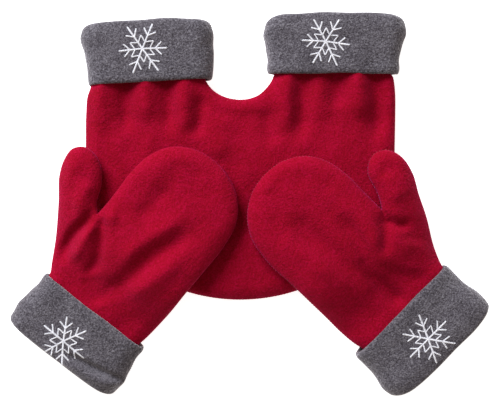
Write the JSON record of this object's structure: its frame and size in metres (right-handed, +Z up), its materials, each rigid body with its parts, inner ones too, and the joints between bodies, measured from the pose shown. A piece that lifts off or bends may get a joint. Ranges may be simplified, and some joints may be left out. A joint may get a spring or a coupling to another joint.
{
  "type": "hand-holding mitten set",
  "caption": "Three-piece fleece mitten set: a two-person mitten with two arm openings and a mitten for each free hand, with turned-back cuffs.",
  "frame": {"origin": "centre of the underside of the set's bounding box, on the surface that the set lies on", "axes": "+X from the left single mitten to the right one, +Y from the shared mitten's pouch to its two cuffs, +Z up, away from the surface that the set lies on"},
  "size_m": [0.484, 0.3855, 0.0414],
  "materials": {
    "red_fleece": "red polar fleece",
    "grey_fleece": "grey polar fleece",
    "red_thread": "sewing thread",
    "grey_thread": "sewing thread",
    "white_embroidery": "white satin-stitch embroidery thread"
  },
  "bodies": {
    "shared_mitten": {"shared_shell_front": "red_fleece", "shared_shell_back": "red_fleece", "shared_shell_side_seam": "red_thread", "shared_shell_notch_seam": "red_thread", "shared_lining_front": "grey_fleece", "shared_lining_back": "grey_fleece", "shared_lining_side_seam": "grey_thread", "shared_lining_notch_seam": "grey_thread", "shared_left_mouth_seam": "grey_thread", "shared_right_mouth_seam": "grey_thread"},
    "shared_left_cuff": {"shared_left_cuff": "grey_fleece", "shared_left_snowflake": "white_embroidery"},
    "shared_right_cuff": {"shared_right_cuff": "grey_fleece", "shared_right_snowflake": "white_embroidery"},
    "left_mitten": {"left_shell_front": "red_fleece", "left_shell_back": "red_fleece", "left_shell_finger_seam": "red_thread", "left_shell_wrist_seam": "red_thread", "left_lining_front": "grey_fleece", "left_lining_back": "grey_fleece", "left_lining_finger_seam": "grey_thread", "left_lining_wrist_seam": "grey_thread", "left_mouth_seam": "grey_thread"},
    "left_thumb": {"left_thumb_shell_front": "red_fleece", "left_thumb_shell_back": "red_fleece", "left_thumb_shell_seam": "red_thread", "left_thumb_lining_front": "grey_fleece", "left_thumb_lining_back": "grey_fleece", "left_thumb_lining_seam": "grey_thread"},
    "left_cuff": {"left_cuff": "grey_fleece", "left_snowflake": "white_embroidery"},
    "right_mitten": {"right_shell_front": "red_fleece", "right_shell_back": "red_fleece", "right_shell_finger_seam": "red_thread", "right_shell_wrist_seam": "red_thread", "right_lining_front": "grey_fleece", "right_lining_back": "grey_fleece", "right_lining_finger_seam": "grey_thread", "right_lining_wrist_seam": "grey_thread", "right_mouth_seam": "grey_thread"},
    "right_thumb": {"right_thumb_shell_front": "red_fleece", "right_thumb_shell_back": "red_fleece", "right_thumb_shell_seam": "red_thread", "right_thumb_lining_front": "grey_fleece", "right_thumb_lining_back": "grey_fleece", "right_thumb_lining_seam": "grey_thread"},
    "right_cuff": {"right_cuff": "grey_fleece", "right_snowflake": "white_embroidery"}
  },
  "joints": [
    {"name": "left_mitten_lift", "type": "slide", "parent": "shared_mitten", "child": "left_mitten", "axis": [0, 0, 1], "range_m": [0, 0.12]},
    {"name": "right_mitten_lift", "type": "slide", "parent": "shared_mitten", "child": "right_mitten", "axis": [0, 0, 1], "range_m": [0, 0.12]},
    {"name": "left_thumb_fold", "type": "hinge", "parent": "left_mitten", "child": "left_thumb", "pos_m": [-0.18579, -0.05604, 0.0255], "axis": [0.5811, 0.7518, 0.3117], "range_deg": [0, 80]},
    {"name": "right_thumb_fold", "type": "hinge", "parent": "right_mitten", "child": "right_thumb", "pos_m": [0.17675, -0.05037, 0.02446], "axis": [0.6742, -0.6742, -0.3013], "range_deg": [0, 80]},
    {"name": "shared_left_cuff_turn_down", "type": "slide", "parent": "shared_mitten", "child": "shared_left_cuff", "axis": [0, 1, 0], "range_m": [0, 0.055]},
    {"name": "shared_right_cuff_turn_down", "type": "slide", "parent": "shared_mitten", "child": "shared_right_cuff", "axis": [0, 1, 0], "range_m": [0, 0.055]},
    {"name": "left_cuff_turn_down", "type": "slide", "parent": "left_mitten", "child": "left_cuff", "axis": [-0.6115, -0.7912, 0], "range_m": [0, 0.05]},
    {"name": "right_cuff_turn_down", "type": "slide", "parent": "right_mitten", "child": "right_cuff", "axis": [0.7071, -0.7071, 0], "range_m": [0, 0.05]}
  ]
}
